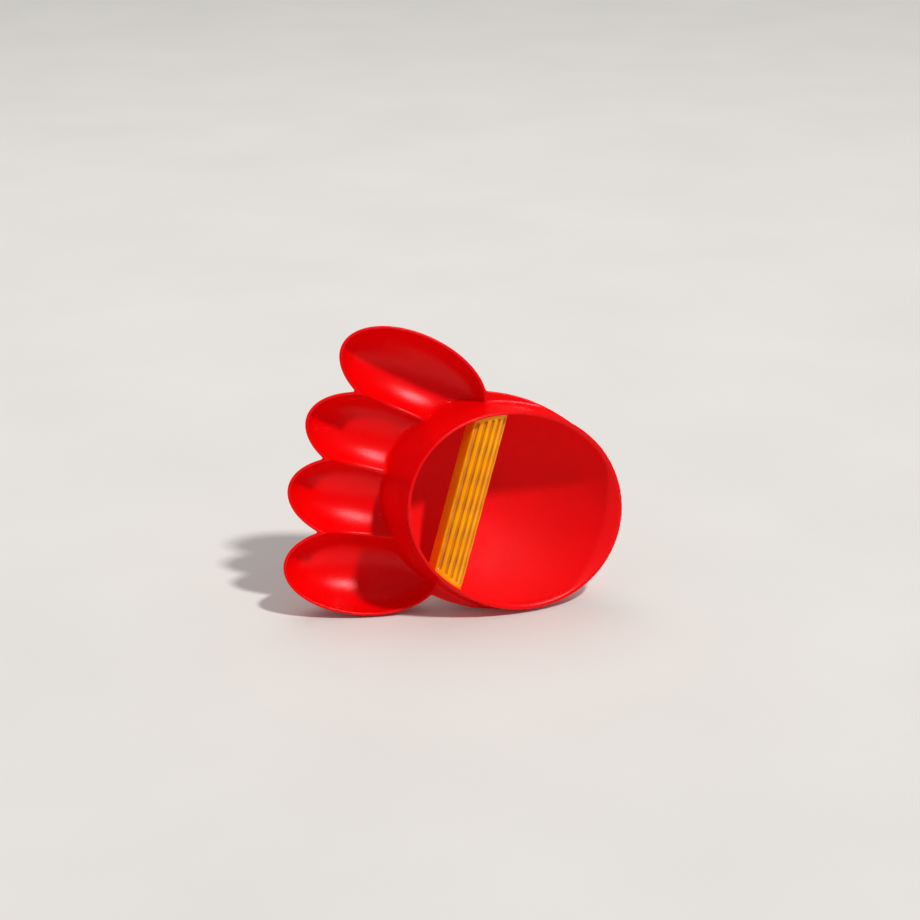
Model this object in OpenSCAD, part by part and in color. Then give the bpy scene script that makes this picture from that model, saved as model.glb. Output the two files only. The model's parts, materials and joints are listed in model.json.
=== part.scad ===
// Hand-worn sand digger: a moulded paw with four scooping fingers, an open hand pocket behind a raised
// collar, and a ribbed grip bar that snaps across the mouth of the pocket.
// Tool frame, in which the pieces are drawn: X along the fingers, Y across the hand, Z out of the palm,
// zero at the middle of the mouth. The digger then lies on its side, on an outer finger and the flange, with
// its palm towards -Y and its fingers towards -X. Zero is then under the middle of its box, on the ground.

/* [Fingers] */
// Length of one finger bowl along its own axis
finger_len = 92; // [80:1:104]
// Width of one finger bowl, which is round in section
finger_w = 52; // [48:1:58]
// Tip of the two middle fingers, ahead of the middle of the mouth
middle_reach = 131; // [124:1:140]
// Tip of the two outer fingers, ahead of the middle of the mouth
outer_reach = 122; // [114:1:128]
// Distance between the tips of the middle fingers
middle_spread = 42; // [38:1:46]
// Distance between the tips of the outer fingers
outer_spread = 132; // [124:1:140]
// Outward turn of the middle fingers
middle_splay = 3; // [0:0.5:6]
// Outward turn of the outer fingers
outer_splay = 10; // [4:0.5:14]
// Rise of the finger edges towards the tips
edge_pitch = 8.5; // [4:0.5:12]
// Place along the tool where the edge plane crosses the level of the mouth's datum
edge_start = 39; // [30:1:48]

/* [Hand dish] */
// Length of the egg that the back of the hand is cut from
dish_len = 173; // [164:1:182]
// Width of that egg
dish_w = 142; // [134:1:150]
// Height of that egg
dish_h = 140; // [130:1:150]
// Depth of the dish's lowest point under the mouth's datum
dish_drop = 40; // [34:1:46]
// Length of the flange round the dish, seen square to the palm
flange_len = 156; // [148:1:164]
// Width of the flange round the dish
flange_w = 127; // [120:1:134]
// Middle of the flange, ahead of the middle of the mouth
flange_ahead = 17; // [12:1:22]

/* [Collar] */
// Length of the mouth, seen square to the palm
mouth_len = 125.4; // [116:0.2:132]
// Width of the mouth
mouth_w = 113.6; // [106:0.2:118]
// Height of the middle of the mouth over its datum
mouth_rise = 8; // [5:0.5:12]
// Tilt of the mouth towards the wrist
mouth_tilt = 25; // [18:0.5:30]
// Widening of the collar from mouth to foot, on each side of its axis
collar_flare = 13; // [10:0.5:16]
// Lean of the collar's axis towards the fingers, from mouth to foot
collar_lean = 5; // [2:0.5:8]
// Overhang of the lip's edge past the mouth at the wrist, in the plane of the mouth
lip_over = 1; // [0.4:0.1:2]
// Overhang of the lip's edge past the mouth on each side
lip_side = 1.7; // [0.8:0.1:2.6]
// Set-back of the lip's edge from the front of the mouth
lip_front = 7; // [5:0.5:9]
// Depth of the lip under the mouth
lip_h = 7; // [5:0.5:9]
// Flare of the lip over its depth
lip_flare = 9; // [6:0.5:11]
// Wall of the shell and the collar
wall = 2; // [1.6:0.1:2.6]

/* [Grip bar] */
// Centre line of the bar, ahead of the middle of the mouth
bar_ahead = 25.5; // [22:0.5:30]
// Width of the bar
bar_w = 19.5; // [17:0.5:22]
// Depth of the bar from its crown to its open back
bar_h = 14; // [13:0.5:16]
// Depth of the bar's crown under the mouth
bar_sink = 2.5; // [1:0.1:5]
// Radius of the bar's crowned face
crown_r = 15; // [13:0.5:24]
// Radius of the bar's long edges
bar_edge_r = 1; // [0.6:0.1:1.4]
// Wall of the bar
bar_wall = 2; // [1.6:0.1:2.4]
// Distance between the grooves
groove_pitch = 3.9; // [3.4:0.1:4.1]
// Width of a groove
groove_w = 1.8; // [1.2:0.1:2.2]
// Depth of a groove
groove_depth = 1.4; // [0.8:0.1:1.8]
// Plain band left at each end of the grooves
groove_end = 3; // [2:0.1:5]
// Length of one swell along the ribs
swell_pitch = 16.5; // [14:0.5:20]
// Height of one swell
swell_h = 0.5; // [0.2:0.05:0.8]
// Gap between the bar and the shell
fit_gap = 0.2; // [0.1:0.05:0.4]

/* [Snap lugs] */
// Length of a lug, from the collar into the bar
lug_len = 10; // [7:0.5:13]
// Thickness of a lug
lug_h = 4; // [3:0.1:5]
// Overhang of a snap nib under its lug
nib_reach = 0.7; // [0.4:0.1:1]
// Length of a snap nib
nib_len = 4; // [3:0.1:6]

/* [Lying pose] */
// Lean of the palm back from upright
palm_lean = 16; // [0:0.5:30]
// Rise of the fingers along the palm
finger_rise = 15; // [0:0.5:20]
// Middle of the mouth from the middle of the box, along X
rest_along = 35.9; // [30:0.1:45]
// Middle of the mouth from the middle of the box, along Y
rest_back = -2.9; // [-10:0.1:5]
// Height of the middle of the mouth over the ground
rest_up = 60.4; // [50:0.1:70]

/* [Hidden] */
$fn = 96;
overrun = 200;
groove_count = 5;
web_count = 5;
web_share = 0.8;
// Share of the wall that the lip is rooted in
lip_root_share = 0.7;
finger_r = finger_w / 2;
dish_top = dish_h / 2 - dish_drop;
mouth_slope = tan(mouth_tilt);
mouth_half = mouth_len / 2;
lip_len = mouth_len / cos(mouth_tilt) + lip_over - lip_front;
lip_w = mouth_w + 2 * lip_side;
lip_back = (lip_over + lip_front) / 2;
// The collar's cone runs through the front and the back of the mouth at these slopes, and so finds its apex
front_slope = tan(collar_flare + collar_lean);
back_slope = tan(collar_flare - collar_lean);
apex_z = mouth_rise
  + (mouth_len + mouth_half * mouth_slope * (front_slope - back_slope)) / (front_slope + back_slope);
apex_x = mouth_half + (mouth_rise + mouth_half * mouth_slope - apex_z) * front_slope;
cone_slope = (front_slope + back_slope) / 2;
lean_slope = (front_slope - back_slope) / 2;
// The middle of the mouth in the cone: how far under the apex and how far off the axis
mouth_down = apex_z - mouth_rise;
mouth_off = apex_x + mouth_down * lean_slope;
collar_ratio_share = mouth_w / 2 / sqrt(pow(mouth_down * cone_slope, 2) - mouth_off * mouth_off);
bar_long = mouth_w + overrun;
outer_groove = (groove_count - 1) / 2 * groove_pitch;
groove_drop = crown_r - sqrt(crown_r * crown_r - outer_groove * outer_groove) + groove_depth;
bar_ceiling = bar_h - bar_wall - groove_drop;
swell_r = swell_pitch * swell_pitch / (8 * swell_h);
bar_half = mouth_w / 2 * sqrt(1 - pow(bar_ahead / mouth_half, 2));
lug_root = bar_half - lug_len;
lug_top = -(bar_h - bar_ceiling) - fit_gap;

// Everything above a plane that rises along X by the given angle and crosses zero at the given place
module above(place, angle) {
  translate(place)
    rotate([0, -angle, 0])
      translate([-overrun, -overrun, 0])
        cube([2 * overrun, 2 * overrun, 2 * overrun]);
}

module above_mouth() {
  above([0, 0, mouth_rise], mouth_tilt);
}

module above_edges() {
  above([edge_start, 0, 0], edge_pitch);
}

// Egg of the given half lengths, drawn in by the wall
module egg(half, inset) {
  scale([half[0] - inset, half[1] - inset, half[2] - inset])
    sphere(1);
}

// One finger on the +Y side, its axis in the plane of the edges
module finger(reach, spread, splay, inset) {
  translate([reach, spread / 2, tan(edge_pitch) * (reach - edge_start)])
    rotate([0, -edge_pitch, splay])
      translate([-finger_len / 2, 0, 0])
        egg([finger_len / 2, finger_r, finger_r], inset);
}

// The paw as a filled form, drawn in from its outer skin by the inset
module paw_form(inset) {
  translate([0, 0, dish_top])
    egg([dish_len / 2, dish_w / 2, dish_h / 2], inset);
  for (side = [0, 1]) {
    mirror([0, side, 0]) {
      finger(middle_reach, middle_spread, middle_splay, inset);
      finger(outer_reach, outer_spread, outer_splay, inset);
    }
  }
}

// Filled cone of the collar, drawn in by the inset
module collar_cone(inset) {
  depth = 2 * (apex_z + dish_drop);
  drop = inset / cone_slope;
  translate([apex_x + drop * lean_slope, 0, apex_z - drop])
    multmatrix([[1, 0, -lean_slope, 0], [0, collar_ratio_share, 0, 0], [0, 0, 1, 0]])
      translate([0, 0, -depth])
        cylinder(h = depth, r1 = depth * cone_slope, r2 = 0);
}

// Flat flange in the plane of the edges, round the side of the dish
module flange() {
  intersection() {
    translate([flange_ahead, 0, -overrun])
      scale([1, flange_w / flange_len, 1])
        cylinder(h = 2 * overrun, d = flange_len);
    translate([edge_start, 0, 0])
      rotate([0, -edge_pitch, 0])
        translate([-overrun, -overrun, -wall])
          cube([2 * overrun, 2 * overrun, wall]);
  }
}

// Flared cone of the lip, which runs through the mouth, drawn in by the inset
module lip_cone(inset) {
  edge_r = lip_len / 2 - inset;
  translate([0, 0, mouth_rise])
    rotate([0, -mouth_tilt, 0])
      translate([-lip_back, 0, -lip_h])
        scale([1, lip_w / lip_len, 1])
          cylinder(h = 2 * lip_h, r1 = edge_r - lip_flare, r2 = edge_r + lip_flare);
}

// The room inside the collar and the dish, drawn in by the inset
module pocket(inset) {
  intersection() {
    collar_cone(inset);
    paw_form(inset);
  }
}

// Bar frame: X across the bar, Y along it, Z out of the mouth, zero on the crown of the bar
module at_bar() {
  translate([bar_ahead, 0, mouth_rise + mouth_slope * bar_ahead])
    rotate([0, -mouth_tilt, 0])
      translate([0, 0, -bar_sink])
        children();
}

// Two lugs on the inside of the collar that the bar snaps over
module lugs() {
  lug_w = bar_w - 2 * bar_wall - 2 * fit_gap;
  for (side = [0, 1]) {
    mirror([0, side, 0])
      translate([-lug_w / 2, lug_root, lug_top - lug_h])
        cube([lug_w, 2 * lug_len, lug_h]);
  }
}

module paw_shell() {
  color("red")
    union() {
      difference() {
        union() {
          difference() {
            union() {
              paw_form(0);
              flange();
            }
            paw_form(wall);
            above_edges();
          }
          intersection() {
            difference() {
              collar_cone(0);
              collar_cone(wall);
            }
            paw_form(wall / 2);
          }
          difference() {
            lip_cone(0);
            pocket(lip_root_share * wall);
          }
        }
        lip_cone(wall);
        above_mouth();
      }
      intersection() {
        at_bar() lugs();
        collar_cone(wall / 2);
      }
    }
}

// Cross section of the bar: a crowned top with rounded long edges
module bar_section() {
  edge_x = bar_w / 2 - bar_edge_r;
  edge_y = sqrt(pow(crown_r - bar_edge_r, 2) - edge_x * edge_x) - crown_r;
  meet_x = edge_x * crown_r / (crown_r - bar_edge_r);
  intersection() {
    translate([0, -crown_r]) circle(crown_r);
    translate([-meet_x, -bar_h]) square([2 * meet_x, bar_h]);
  }
  for (side = [-1, 1])
    translate([side * edge_x, edge_y]) circle(bar_edge_r);
  translate([-bar_w / 2, -bar_h]) square([bar_w, bar_h + edge_y]);
}

// Row of shallow swells that the crown of the bar follows
module swells() {
  steps = ceil(mouth_w / swell_pitch / 2);
  rotate([90, 0, 90])
    linear_extrude(2 * bar_w, center = true)
      for (i = [-steps : steps])
        translate([i * swell_pitch, -swell_r]) circle(swell_r, $fn = 360);
}

// Grooves along the crown of the bar
module grooves() {
  first = -(groove_count - 1) / 2;
  for (i = [first : -first]) {
    x = i * groove_pitch;
    floor_z = sqrt(crown_r * crown_r - x * x) - crown_r - groove_depth;
    translate([x - groove_w / 2, -bar_long / 2, floor_z])
      cube([groove_w, bar_long, bar_h]);
  }
}

// Hollow of the bar, open at its back
module bar_hollow() {
  hollow_w = bar_w - 2 * bar_wall;
  translate([-hollow_w / 2, -bar_long / 2, -2 * bar_h])
    cube([hollow_w, bar_long, bar_h + bar_ceiling]);
}

// Cross webs that stiffen the open back of the bar
module webs() {
  web = bar_wall * web_share;
  web_w = bar_w - bar_wall;
  for (i = [0 : web_count - 1])
    translate([-web_w / 2, (i - (web_count - 1) / 2) * swell_pitch - web / 2, -bar_h])
      cube([web_w, web, bar_ceiling + bar_wall / 2]);
}

// Snap nibs on the inner sides of the bar, which catch under the lugs
module nibs() {
  nib_x = bar_w / 2 - bar_wall - nib_reach;
  nib_z = lug_top - lug_h - fit_gap - bar_wall;
  for (side = [0, 1])
    mirror([0, side, 0])
      for (flip = [0, 1])
        mirror([flip, 0, 0])
          translate([nib_x, lug_root + nib_len / 2, nib_z])
            cube([nib_reach + bar_wall / 2, nib_len, bar_wall]);
}

module grip_bar() {
  color("gold")
    difference() {
      intersection() {
        at_bar()
          union() {
            difference() {
              intersection() {
                rotate([90, 0, 0])
                  linear_extrude(bar_long, center = true)
                    bar_section();
                swells();
              }
              bar_hollow();
            }
            webs();
            nibs();
          }
        collar_cone(wall + fit_gap);
      }
      intersection() {
        at_bar() grooves();
        collar_cone(wall + fit_gap + groove_end);
      }
    }
}

// Lays the finished tool on its side
module at_rest() {
  translate([rest_along, rest_back, rest_up])
    rotate([90 - palm_lean, 0, 0])
      rotate([0, 0, 180 - finger_rise])
        children();
}

at_rest() paw_shell();
at_rest() grip_bar();
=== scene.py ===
import json
import math

import bpy
from mathutils import Matrix, Vector

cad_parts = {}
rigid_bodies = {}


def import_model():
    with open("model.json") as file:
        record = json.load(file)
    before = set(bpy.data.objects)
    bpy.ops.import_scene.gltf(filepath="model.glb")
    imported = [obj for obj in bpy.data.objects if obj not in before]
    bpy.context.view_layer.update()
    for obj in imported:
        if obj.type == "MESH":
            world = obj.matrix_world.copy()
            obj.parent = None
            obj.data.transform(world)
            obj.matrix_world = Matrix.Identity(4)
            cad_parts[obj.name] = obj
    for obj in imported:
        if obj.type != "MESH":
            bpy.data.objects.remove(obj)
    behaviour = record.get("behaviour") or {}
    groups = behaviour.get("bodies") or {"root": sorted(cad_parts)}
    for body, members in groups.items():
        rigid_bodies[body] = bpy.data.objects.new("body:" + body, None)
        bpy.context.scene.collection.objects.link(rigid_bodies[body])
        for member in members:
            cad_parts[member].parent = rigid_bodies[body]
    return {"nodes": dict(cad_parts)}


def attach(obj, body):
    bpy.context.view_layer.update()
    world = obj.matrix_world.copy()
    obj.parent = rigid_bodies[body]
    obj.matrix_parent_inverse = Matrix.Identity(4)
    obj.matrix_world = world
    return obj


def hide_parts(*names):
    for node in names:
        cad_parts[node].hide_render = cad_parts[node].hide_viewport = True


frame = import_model()

bl_info = {
    "name": "Sand digger",
    "version": (1, 0, 0),
    "blender": (4, 5, 0),
    "location": "View3D > Sidebar > Digger",
    "description": "Builds a hand-worn sand digger, with its floor, lights and camera",
    "category": "Object",
}


# The digger's lying pose. The tool's own frame has X along the fingers and Z out of the palm.
POSE = (
    Matrix.Translation((0.0359, -0.0029, 0.0604))
    @ Matrix.Rotation(math.radians(74.0), 4, "X")
    @ Matrix.Rotation(math.radians(165.0), 4, "Z"))
# The mouth's own frame, in its middle, with Z out of the mouth
MOUTH = (
    POSE
    @ Matrix.Translation((0, 0, 0.008))
    @ Matrix.Rotation(math.radians(-25.0), 4, "Y"))
# Half the length and width of the mouth's oval and of the lip round it, and how far the lip sits back
MOUTH_HALF = (0.06918, 0.0568)
LIP_HALF = (0.06618, 0.0585)
LIP_BACK = 0.004

# The bead along the rim: how far in from the edges its middle runs, in radii, and how finely it is made
BEAD_INSET = 0.9
BEAD_STEPS = 240
BEAD_RESOLUTION = 3

# The cone of the collar in the tool's frame: its tip, its slope, its lean and its width for its length
APEX = Vector((-0.0191, 0.0, 0.2890))
CONE_SLOPE = 0.2327
CONE_LEAN = 0.0922
CONE_RATIO = 0.8733

# The plane of the fingers' edges in the tool's frame: its rise, and where it crosses zero height
EDGE_SLOPE = math.tan(math.radians(8.5))
EDGE_START = 0.039

# Where the fillets begin and are full: under a free edge, and from outside to inside of the collar
FREE_EDGE_FADE = (0.002, 0.006)
COLLAR_FADE = (-0.004, 0.0)
FADE_STEPS = 10

# Where the pocket's duller finish begins and is full: in depth within the collar, and by facing
POCKET_DEPTH = (0.0006, 0.0014)
POCKET_FACING = (-0.45, -0.35)

# The bar in the mouth's frame: how far ahead its middle is, how far it sits under the mouth,
# the radius of its crowned face, half the width that its grooves take up, and the length of one swell
BAR_AHEAD = 0.02814
BAR_SINK = 0.0025
CROWN_RADIUS = 0.015
RIBBED_HALF = 0.0088
SWELL_PITCH = 0.0165
# Half widths of the bar at which the swells are gone and are full
SWELLS_GONE = 0.0095
SWELLS_FULL = 0.0085
# Depths under the crown at which a groove begins, has its full painted shade, and ends
GROOVE_START = 0.0005
GROOVE_FULL = 0.001
GROOVE_END = 0.0024

# How much scuffs lighten and roughen the red plastic, and how rough the pocket and sand make it
SCUFF_LIGHT = 0.12
SCUFF_ROUGH = 0.16
POCKET_ROUGH = 0.38
SAND_ROUGH = 0.8
# How much of the groove colour, a painted shade, the grooves of the yellow plastic take, and how rough
# they are
GROOVE_SHADE_SHARE = 0.8
GROOVE_ROUGH = 0.3

# The lamps, the room that lights the digger, the dimmer walls that it mirrors, and the backdrop
KEY_PLACE = (6.0, -6.0, 12.3)
KEY_SIZE = 1.25
TOP_PLACE = (-0.3, 0.9, 2.2)
TOP_SIZE = 1.8
ROOM_COLOUR = (0.95, 0.98, 1.0, 1.0)
WALL_SHARE = 0.2
BACKDROP_COLOUR = (0.80, 0.79, 0.77, 1.0)
# How dark the clouds in the floor's colour are, as a share of it
FLOOR_SHADE = 0.96
# Distance up to which the camera sees
CAMERA_REACH = 100

# Corners of the solids that lie closer than this are one corner
MERGE_DISTANCE = 0.00001
# How far one smoothing pass moves a corner towards its neighbours
SMOOTHING = 0.5


class DiggerShellSettings(bpy.types.PropertyGroup):
    voxel: bpy.props.FloatProperty(
        name="Voxel", description="Mesh size of the moulding",
        default=0.0005, unit="LENGTH")
    rounding: bpy.props.IntProperty(
        name="Rounding", description="Smoothing passes that round the lips and fill the inner corners",
        default=16)
    keep: bpy.props.FloatProperty(
        name="Keep", description="Share of the faces that stay after thinning",
        default=0.19, subtype="FACTOR")
    fillets: bpy.props.IntProperty(
        name="Fillets", description="Smoothing passes away from the free edges",
        default=90)
    bead: bpy.props.FloatProperty(
        name="Bead", description="Radius of the round edge of the mouth",
        default=0.0009, unit="LENGTH")
    light_red: bpy.props.FloatVectorProperty(
        name="Light red", description="Colour of the moulding where it is thick and clean",
        default=(0.92, 0.0004, 0.0015, 1.0), size=4, subtype="COLOR")
    deep_red: bpy.props.FloatVectorProperty(
        name="Deep red", description="Colour of the moulding in its deeper patches",
        default=(0.84, 0.0004, 0.001, 1.0), size=4, subtype="COLOR")
    worn_red: bpy.props.FloatVectorProperty(
        name="Worn red", description="Colour of scuffs and rubbed lips",
        default=(0.86, 0.10, 0.09, 1.0), size=4, subtype="COLOR")
    sand: bpy.props.FloatVectorProperty(
        name="Sand", description="Colour of the grains left in the inner corners",
        default=(0.66, 0.50, 0.36, 1.0), size=4, subtype="COLOR")


class DiggerGripSettings(bpy.types.PropertyGroup):
    voxel: bpy.props.FloatProperty(
        name="Voxel", description="Mesh size of the bar",
        default=0.0003, unit="LENGTH")
    rounding: bpy.props.IntProperty(
        name="Rounding", description="Smoothing passes that round the ribs",
        default=8)
    keep: bpy.props.FloatProperty(
        name="Keep", description="Share of the faces that stay after thinning",
        default=0.4, subtype="FACTOR")
    light_yellow: bpy.props.FloatVectorProperty(
        name="Light yellow", description="Colour of the ribs",
        default=(1.0, 0.40, 0.002, 1.0), size=4, subtype="COLOR")
    deep_yellow: bpy.props.FloatVectorProperty(
        name="Deep yellow", description="Colour of the bar in its deeper patches",
        default=(0.96, 0.31, 0.001, 1.0), size=4, subtype="COLOR")
    # Painted shade: a darker colour laid deep in the grooves for the shade that falls there
    groove_shade: bpy.props.FloatVectorProperty(
        name="Groove", description="Colour deep in the grooves",
        default=(0.64, 0.19, 0.001, 1.0), size=4, subtype="COLOR")
    sand: bpy.props.FloatVectorProperty(
        name="Sand", description="Colour of the dust in the grooves",
        default=(0.62, 0.44, 0.27, 1.0), size=4, subtype="COLOR")


class DiggerStageSettings(bpy.types.PropertyGroup):
    floor_size: bpy.props.FloatProperty(
        name="Floor size", description="Side of the floor",
        default=24.0, unit="LENGTH")
    floor_colour: bpy.props.FloatVectorProperty(
        name="Floor colour", description="Pale colour of the floor",
        default=(0.74, 0.71, 0.67, 1.0), size=4, subtype="COLOR")
    sky: bpy.props.FloatProperty(
        name="Sky", description="Level of the light from all round",
        default=0.34)
    key: bpy.props.FloatProperty(
        name="Key", description="Power of the main light",
        default=1560.0, unit="POWER")
    top: bpy.props.FloatProperty(
        name="Top", description="Power of the overhead light",
        default=14.0, unit="POWER")
    aim: bpy.props.FloatVectorProperty(
        name="Aim", description="Point in the middle of the picture",
        default=(0.0031, -0.0008, 0.0899), size=3, subtype="TRANSLATION")
    distance: bpy.props.FloatProperty(
        name="Distance", description="Distance of the camera from the aim",
        default=1.3, unit="LENGTH")
    elevation: bpy.props.FloatProperty(
        name="Elevation", description="Height of the camera over the horizon",
        default=math.radians(20.0), unit="ROTATION")
    field: bpy.props.FloatProperty(
        name="Field", description="Width of the picture at the aim",
        default=0.5327, unit="LENGTH")


def deselect():
    """Leaves edit mode and selects nothing."""
    if bpy.context.object and bpy.context.object.mode != "OBJECT":
        bpy.ops.object.mode_set(mode="OBJECT")
    bpy.ops.object.select_all(action="DESELECT")


def pick(obj):
    """Selects one object alone and makes it the active one."""
    deselect()
    obj.select_set(True)
    bpy.context.view_layer.objects.active = obj


def copy_of_node(node, name):
    """Copies a CAD node as the start of a piece, with its loose triangles joined."""
    pick(frame["nodes"][node])
    bpy.ops.object.duplicate()
    piece = bpy.context.object
    piece.name = name
    piece.data.name = name
    bpy.ops.object.parent_clear(type="CLEAR_KEEP_TRANSFORM")
    bpy.ops.object.mode_set(mode="EDIT")
    bpy.ops.mesh.select_all(action="SELECT")
    bpy.ops.mesh.remove_doubles(threshold=MERGE_DISTANCE)
    bpy.ops.mesh.normals_make_consistent(inside=False)
    bpy.ops.object.mode_set(mode="OBJECT")
    return piece


def apply_modifier(piece, kind, **values):
    """Adds a modifier to a piece, sets it and applies it."""
    pick(piece)
    bpy.ops.object.modifier_add(type=kind)
    modifier = piece.modifiers[-1]
    for key, value in values.items():
        setattr(modifier, key, value)
    bpy.ops.object.modifier_apply(modifier=modifier.name)


def rim_reach(angle):
    """Distance from the middle of the mouth to the outer edge of its rim."""
    along, across = math.cos(angle), math.sin(angle)
    mouth = 1 / math.hypot(along / MOUTH_HALF[0], across / MOUTH_HALF[1])
    # The lip's oval is set back, so its edge is the far root of a quadratic
    a = (along / LIP_HALF[0]) ** 2 + (across / LIP_HALF[1]) ** 2
    b = along * LIP_BACK / LIP_HALF[0] ** 2
    c = (LIP_BACK / LIP_HALF[0]) ** 2 - 1
    lip = (math.sqrt(b * b - a * c) - b) / a
    return max(mouth, lip)


def add_rim_bead(piece, radius):
    """Rounds the rim of the mouth with a bead that runs all the way round it."""
    curve = bpy.data.curves.new("bead", "CURVE")
    curve.dimensions = "3D"
    curve.bevel_depth = radius
    curve.bevel_resolution = BEAD_RESOLUTION
    spline = curve.splines.new("POLY")
    spline.points.add(BEAD_STEPS - 1)
    spline.use_cyclic_u = True
    inset = BEAD_INSET * radius
    for step, point in enumerate(spline.points):
        angle = 2 * math.pi * step / BEAD_STEPS
        reach = rim_reach(angle) - inset
        spot = MOUTH @ Vector((reach * math.cos(angle), reach * math.sin(angle), -inset))
        point.co = (*spot, 1)
    bead = bpy.data.objects.new("bead", curve)
    bpy.context.collection.objects.link(bead)
    pick(bead)
    bpy.ops.object.convert(target="MESH")
    piece.select_set(True)
    bpy.context.view_layer.objects.active = piece
    bpy.ops.object.join()


def step_up(value, limits):
    """Rises from 0 at the first limit to 1 at the second."""
    low, high = limits
    return min(max((value - low) / (high - low), 0), 1)


def cone_depth(spot):
    """How far a point of the tool's frame lies inside the collar's outer face."""
    arm = spot - APEX
    return -CONE_SLOPE * arm.z - math.hypot(arm.x + CONE_LEAN * arm.z, arm.y / CONE_RATIO)


def mark_body(piece):
    """Groups the vertices that lie well away from the free edges of the mouth and the fingers."""
    to_tool = POSE.inverted()
    to_mouth = MOUTH.inverted()
    group = piece.vertex_groups.new(name="body")
    steps = {}
    for vertex in piece.data.vertices:
        spot = to_tool @ vertex.co
        edge_height = EDGE_SLOPE * (spot.x - EDGE_START)
        under_mouth = step_up(-(to_mouth @ vertex.co).z, FREE_EDGE_FADE)
        under_edges = step_up(edge_height - spot.z, FREE_EDGE_FADE)
        by_collar = step_up(cone_depth(spot), COLLAR_FADE)
        weight = round(FADE_STEPS * min(under_mouth, max(under_edges, by_collar)))
        steps.setdefault(weight, []).append(vertex.index)
    for weight, indices in steps.items():
        if weight:
            group.add(indices, weight / FADE_STEPS, "REPLACE")


def mark_pocket(piece):
    """Marks the pocket's side of the moulding, within the collar's cone, for its duller finish."""
    to_tool = POSE.inverted()
    turn = to_tool.to_3x3()
    marks = piece.data.attributes.new("pocket", "FLOAT", "POINT").data
    for vertex, mark in zip(piece.data.vertices, marks):
        depth = cone_depth(to_tool @ vertex.co)
        facing = (turn @ vertex.normal).z
        mark.value = step_up(depth, POCKET_DEPTH) * step_up(facing, POCKET_FACING)


def drop_loose_bits(piece):
    """Deletes what isn't joined to the skin of a piece, such as a speck closed inside its wall."""
    pick(piece)
    bpy.ops.object.mode_set(mode="EDIT")
    bpy.ops.mesh.select_mode(type="VERT")
    bpy.ops.mesh.select_all(action="DESELECT")
    bpy.ops.object.mode_set(mode="OBJECT")
    # The outermost corner is always on the skin
    max(piece.data.vertices, key=lambda vertex: vertex.co.x).select = True
    bpy.ops.object.mode_set(mode="EDIT")
    bpy.ops.mesh.select_linked()
    bpy.ops.mesh.select_all(action="INVERT")
    bpy.ops.mesh.delete(type="VERT")
    bpy.ops.object.mode_set(mode="OBJECT")


def soften(piece, voxel, rounding, keep, fillets=0):
    """Turns the sharp solid into a moulding with round lips and filled corners."""
    apply_modifier(piece, "REMESH", mode="VOXEL", voxel_size=voxel, adaptivity=0.0)
    apply_modifier(piece, "SMOOTH", factor=SMOOTHING, iterations=rounding)
    if fillets:
        mark_body(piece)
        apply_modifier(
            piece, "SMOOTH", factor=SMOOTHING, iterations=fillets, vertex_group="body")
    apply_modifier(piece, "DECIMATE", ratio=keep)
    drop_loose_bits(piece)
    pick(piece)
    bpy.ops.object.shade_smooth()
    if len(piece.data.polygons) == 0:
        raise RuntimeError(piece.name + " has no faces")


def paint(piece, material):
    """Gives a piece one material in place of any that it has."""
    piece.data.materials.clear()
    piece.data.materials.append(material)


class Graph:
    """Short way to build a material's node tree."""

    def __init__(self, name):
        self.material = bpy.data.materials.new(name)
        self.material.use_nodes = True
        self.tree = self.material.node_tree
        self.shader = self.tree.nodes["Principled BSDF"]
        self.coords = self.add("ShaderNodeTexCoord").outputs["Object"]

    def add(self, kind, inputs=None, **values):
        node = self.tree.nodes.new(kind)
        for key, value in values.items():
            setattr(node, key, value)
        for key, value in (inputs or {}).items():
            self.put(node.inputs[key], value)
        return node

    def put(self, socket, value):
        if isinstance(value, bpy.types.NodeSocket):
            self.tree.links.new(value, socket)
        else:
            socket.default_value = value

    def shade(self, inputs):
        for key, value in inputs.items():
            self.put(self.shader.inputs[key], value)

    def noise(self, scale, detail, stretch=(1, 1, 1), turn=(0, 0, 0)):
        mapping = self.add("ShaderNodeMapping", {
            "Vector": self.coords, "Scale": stretch, "Rotation": turn})
        return self.add("ShaderNodeTexNoise", {
            "Vector": mapping.outputs["Vector"], "Scale": scale, "Detail": detail}).outputs["Fac"]

    def ramp(self, value, low, high, start=0.0, end=1.0):
        return self.add("ShaderNodeMapRange", {
            "Value": value, "From Min": low, "From Max": high,
            "To Min": start, "To Max": end}).outputs["Result"]

    def calc(self, operation, a, b=0.0):
        return self.add("ShaderNodeMath", {0: a, 1: b}, operation=operation).outputs[0]

    def times(self, a, b):
        return self.calc("MULTIPLY", a, b)

    def most(self, a, b):
        return self.calc("MAXIMUM", a, b)

    def plus(self, a, b):
        return self.calc("ADD", a, b)

    def minus(self, a, b):
        return self.calc("SUBTRACT", a, b)

    def below(self, a, b):
        return self.calc("LESS_THAN", a, b)

    def mix(self, share, a, b):
        node = self.add("ShaderNodeMix", data_type="RGBA")
        # The colour sockets share their names with the other types, so they are taken by number
        self.put(node.inputs[0], share)
        self.put(node.inputs[6], a)
        self.put(node.inputs[7], b)
        return node.outputs[2]

    def bump(self, height, distance, strength, under=None):
        node = self.add("ShaderNodeBump", {
            "Height": height, "Distance": distance, "Strength": strength})
        if under:
            self.put(node.inputs["Normal"], under)
        return node.outputs["Normal"]

    def pointiness(self):
        return self.add("ShaderNodeNewGeometry").outputs["Pointiness"]


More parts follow.
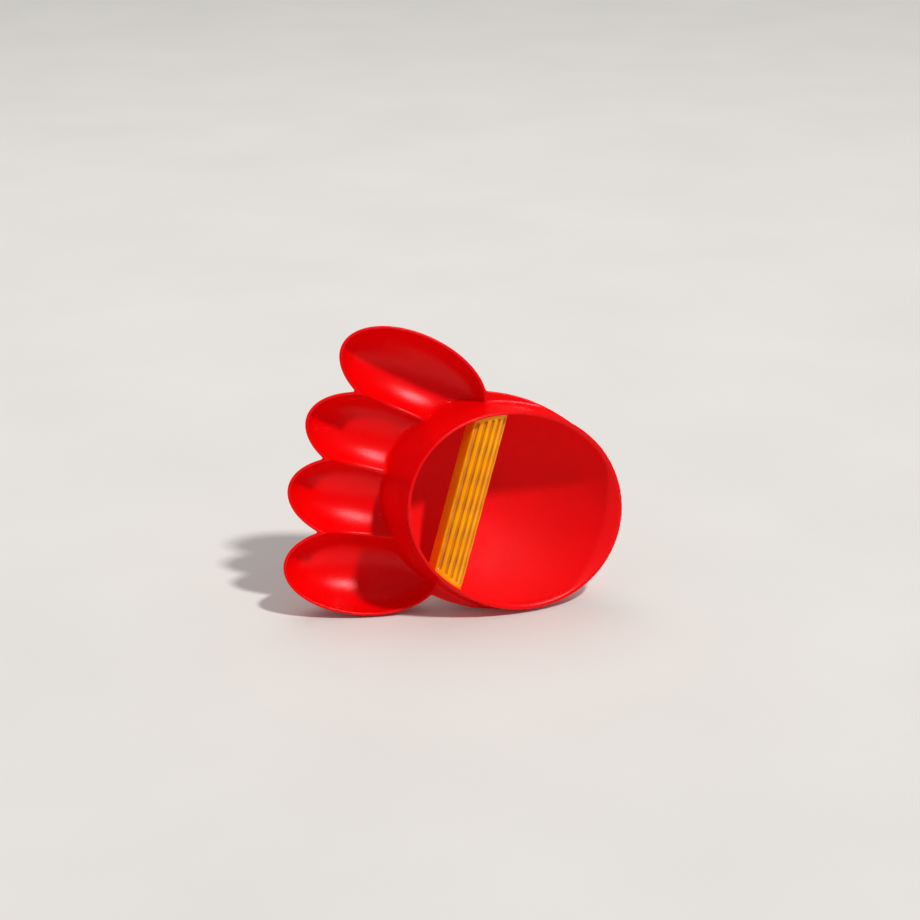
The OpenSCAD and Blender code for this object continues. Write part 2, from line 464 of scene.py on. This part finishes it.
def red_plastic(settings):
    """Red moulding with a fine grain, scuffs, rubbed lips and sand in its corners."""
    g = Graph("red_plastic")
    patches = g.ramp(g.noise(scale=22, detail=3), low=0.35, high=0.65)
    clean = g.mix(patches, settings.deep_red, settings.light_red)

    scratches_along = g.noise(scale=150, detail=4, stretch=(1, 14, 14), turn=(0.3, 0.2, 0.5))
    scratches_across = g.noise(scale=130, detail=4, stretch=(16, 1, 16), turn=(0.1, 0.6, 1.1))
    scratches = g.most(
        g.ramp(scratches_along, low=0.63, high=0.72),
        g.ramp(scratches_across, low=0.64, high=0.74))
    scuffs = g.times(scratches, g.ramp(g.noise(scale=35, detail=2), low=0.48, high=0.68))
    lips = g.ramp(g.pointiness(), low=0.54, high=0.63)
    rubbing = g.ramp(g.noise(scale=120, detail=3), low=0.4, high=0.75, start=0.02, end=0.08)
    worn = g.most(g.times(scuffs, SCUFF_LIGHT), g.times(lips, rubbing))
    used = g.mix(worn, clean, settings.worn_red)

    corners = g.times(
        g.ramp(g.pointiness(), low=0.494, high=0.484),
        g.ramp(g.noise(scale=45, detail=2), low=0.48, high=0.6))
    sand = g.times(corners, g.ramp(g.noise(scale=1100, detail=2), low=0.63, high=0.67))

    inside = g.add("ShaderNodeAttribute", attribute_name="pocket").outputs["Fac"]
    polish = g.ramp(g.noise(scale=60, detail=4), low=0.3, high=0.7, start=0.21, end=0.28)
    rough = g.plus(polish, g.times(scuffs, SCUFF_ROUGH))
    rough = g.plus(rough, g.times(inside, POCKET_ROUGH))
    grain = g.bump(g.noise(scale=1500, detail=3), distance=0.0004, strength=0.30)

    g.shade({
        "Base Color": g.mix(sand, used, settings.sand),
        "Roughness": g.most(rough, g.times(sand, SAND_ROUGH)),
        "Normal": g.bump(scuffs, distance=0.0001, strength=0.12, under=grain),
        "IOR": 1.46,
        "Specular IOR Level": 0.40,
        "Specular Tint": (1.0, 0.43, 0.48, 1.0),
        "Subsurface Weight": 0.08,
        "Subsurface Radius": (1.0, 0.12, 0.1),
        "Subsurface Scale": 0.004,
    })
    return g.material


def yellow_plastic(settings):
    """Yellow bar with glossy ribs, and dusty grooves between them, darkened with painted shade."""
    g = Graph("yellow_plastic")
    local = g.add("ShaderNodeMapping", {
        "Vector": g.coords,
        "Location": MOUTH @ Vector((BAR_AHEAD, 0, 0)),
        "Rotation": MOUTH.to_euler(),
    }, vector_type="TEXTURE").outputs["Vector"]
    split = g.add("ShaderNodeSeparateXYZ", {"Vector": local}).outputs
    across, along, height = split["X"], split["Y"], split["Z"]
    off_middle = g.calc("ABSOLUTE", across)

    rise = g.calc("SQRT", g.minus(CROWN_RADIUS ** 2, g.times(across, across)))
    under = g.minus(g.minus(rise, CROWN_RADIUS + BAR_SINK), height)
    ribbed = g.below(off_middle, RIBBED_HALF)
    # Where the grooves are: they get painted shade, dust and extra roughness
    groove_shade = g.times(g.ramp(under, low=GROOVE_START, high=GROOVE_FULL), ribbed)
    groove_shade = g.times(groove_shade, g.below(under, GROOVE_END))

    patches = g.ramp(g.noise(scale=55, detail=3), low=0.35, high=0.65)
    clean = g.mix(patches, settings.deep_yellow, settings.light_yellow)
    # Painted shade: the grooves are darkened in colour for the shade that falls in them
    shaded = g.mix(g.times(groove_shade, GROOVE_SHADE_SHARE), clean, settings.groove_shade)
    outer = g.ramp(off_middle, low=0.0055, high=0.0068, start=0.05, end=0.45)
    grains = g.ramp(g.noise(scale=1500, detail=3), low=0.5, high=0.66, start=0.03, end=0.6)
    dust = g.times(g.times(groove_shade, outer), grains)

    polish = g.ramp(g.noise(scale=120, detail=4), low=0.3, high=0.7, start=0.12, end=0.18)
    face = g.ramp(off_middle, low=SWELLS_GONE, high=SWELLS_FULL)
    wave = g.calc("COSINE", g.times(along, 2 * math.pi / SWELL_PITCH))
    swells = g.bump(g.times(wave, face), distance=0.0004, strength=1.0)
    peel = g.noise(scale=700, detail=2)

    g.shade({
        "Base Color": g.mix(dust, shaded, settings.sand),
        "Roughness": g.plus(polish, g.times(groove_shade, GROOVE_ROUGH)),
        "Normal": g.bump(peel, distance=0.0003, strength=0.08, under=swells),
        "IOR": 1.5,
        "Specular Tint": (1.0, 0.8, 0.45, 1.0),
        "Subsurface Weight": 0.12,
        "Subsurface Radius": (1.0, 0.5, 0.1),
        "Subsurface Scale": 0.003,
    })
    return g.material


def floor_paint(settings):
    """Matt pale floor with faint clouds in its colour."""
    g = Graph("floor_paint")
    light = list(settings.floor_colour)
    dark = [FLOOR_SHADE * part for part in light[:3]] + [1.0]
    clouds = g.ramp(g.noise(scale=6, detail=3), low=0.3, high=0.7)
    g.shade({
        "Base Color": g.mix(clouds, dark, light),
        "Roughness": 0.85,
        "Specular IOR Level": 0.2,
    })
    return g.material


def lamp(name, place, target, size, power):
    """Adds a round lamp that points at the target and stays out of the picture."""
    bpy.ops.object.light_add(type="AREA", location=place)
    light = bpy.context.object
    light.name = name
    light.rotation_euler = (Vector(target) - Vector(place)).to_track_quat("-Z", "Y").to_euler()
    light.data.shape = "DISK"
    light.data.size = size
    light.data.energy = power
    light.visible_camera = False


def light_from_all_round(level):
    """Lights the digger from a pale room, with dimmer walls for its gloss to mirror."""
    world = bpy.data.worlds.new("studio")
    bpy.context.scene.world = world
    world.use_nodes = True
    tree = world.node_tree
    tree.nodes.clear()

    def background(colour, strength):
        node = tree.nodes.new("ShaderNodeBackground")
        node.inputs["Color"].default_value = colour
        node.inputs["Strength"].default_value = strength
        return node.outputs["Background"]

    def choose(ray, others, chosen):
        node = tree.nodes.new("ShaderNodeMixShader")
        for socket, source in zip(node.inputs, (ray, others, chosen)):
            tree.links.new(source, socket)
        return node.outputs["Shader"]

    path = tree.nodes.new("ShaderNodeLightPath")
    room = background(ROOM_COLOUR, level)
    walls = background(ROOM_COLOUR, WALL_SHARE * level)
    lit = choose(path.outputs["Is Glossy Ray"], room, walls)
    seen = choose(path.outputs["Is Camera Ray"], lit, background(BACKDROP_COLOUR, 1.0))
    out = tree.nodes.new("ShaderNodeOutputWorld")
    tree.links.new(seen, out.inputs["Surface"])


class OBJECT_OT_digger_shell(bpy.types.Operator):
    """Build the red paw: finger bowls, dish, flange and collar in one moulding"""

    bl_idname = "object.digger_shell"
    bl_label = "Build the paw"

    def execute(self, context):
        settings = context.scene.digger_shell
        piece = copy_of_node("paw_shell", "paw")
        add_rim_bead(piece, settings.bead)
        soften(piece, settings.voxel, settings.rounding, settings.keep, settings.fillets)
        mark_pocket(piece)
        paint(piece, red_plastic(settings))
        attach(piece, "root")
        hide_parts("paw_shell")
        return {"FINISHED"}


class OBJECT_OT_digger_grip(bpy.types.Operator):
    """Build the yellow ribbed bar across the mouth"""

    bl_idname = "object.digger_grip"
    bl_label = "Build the grip bar"

    def execute(self, context):
        settings = context.scene.digger_grip
        piece = copy_of_node("grip_bar", "grip")
        soften(piece, settings.voxel, settings.rounding, settings.keep)
        paint(piece, yellow_plastic(settings))
        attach(piece, "root")
        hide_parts("grip_bar")
        return {"FINISHED"}


class OBJECT_OT_digger_stage(bpy.types.Operator):
    """Set up the floor, the lights and the camera"""

    bl_idname = "object.digger_stage"
    bl_label = "Set up the stage"

    def execute(self, context):
        settings = context.scene.digger_stage
        deselect()
        bpy.ops.mesh.primitive_plane_add(size=settings.floor_size, location=(0, 0, 0))
        floor = context.object
        floor.name = "floor"
        paint(floor, floor_paint(settings))

        aim = Vector(settings.aim)
        lamp("key", KEY_PLACE, aim, KEY_SIZE, settings.key)
        lamp("top", TOP_PLACE, aim, TOP_SIZE, settings.top)
        light_from_all_round(settings.sky)

        back = Vector((0, -math.cos(settings.elevation), math.sin(settings.elevation)))
        bpy.ops.object.camera_add(location=aim + settings.distance * back)
        camera = context.object
        camera.rotation_euler = (math.pi / 2 - settings.elevation, 0, 0)
        camera.data.sensor_fit = "HORIZONTAL"
        camera.data.angle = 2 * math.atan(settings.field / 2 / settings.distance)
        camera.data.clip_end = CAMERA_REACH
        context.scene.camera = camera
        context.scene.view_settings.view_transform = "Standard"
        return {"FINISHED"}


class VIEW3D_PT_digger(bpy.types.Panel):
    """Controls of the sand digger"""

    bl_label = "Sand digger"
    bl_idname = "VIEW3D_PT_digger"
    bl_space_type = "VIEW_3D"
    bl_region_type = "UI"
    bl_category = "Digger"

    def draw(self, context):
        for operator, group in (
            ("object.digger_shell", context.scene.digger_shell),
            ("object.digger_grip", context.scene.digger_grip),
            ("object.digger_stage", context.scene.digger_stage),
        ):
            box = self.layout.box()
            for name in group.bl_rna.properties.keys():
                if name not in ("rna_type", "name"):
                    box.prop(group, name)
            box.operator(operator)


GROUPS = {
    "digger_shell": DiggerShellSettings,
    "digger_grip": DiggerGripSettings,
    "digger_stage": DiggerStageSettings,
}
CLASSES = (
    OBJECT_OT_digger_shell,
    OBJECT_OT_digger_grip,
    OBJECT_OT_digger_stage,
    VIEW3D_PT_digger,
)


def register():
    for name, group in GROUPS.items():
        bpy.utils.register_class(group)
        setattr(bpy.types.Scene, name, bpy.props.PointerProperty(type=group))
    for cls in CLASSES:
        bpy.utils.register_class(cls)


def unregister():
    for cls in reversed(CLASSES):
        bpy.utils.unregister_class(cls)
    for name, group in reversed(GROUPS.items()):
        delattr(bpy.types.Scene, name)
        bpy.utils.unregister_class(group)


def main():
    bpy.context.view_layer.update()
    register()
    bpy.ops.object.digger_shell()
    bpy.ops.object.digger_grip()
    bpy.ops.object.digger_stage()


if __name__ == "__main__":
    main()
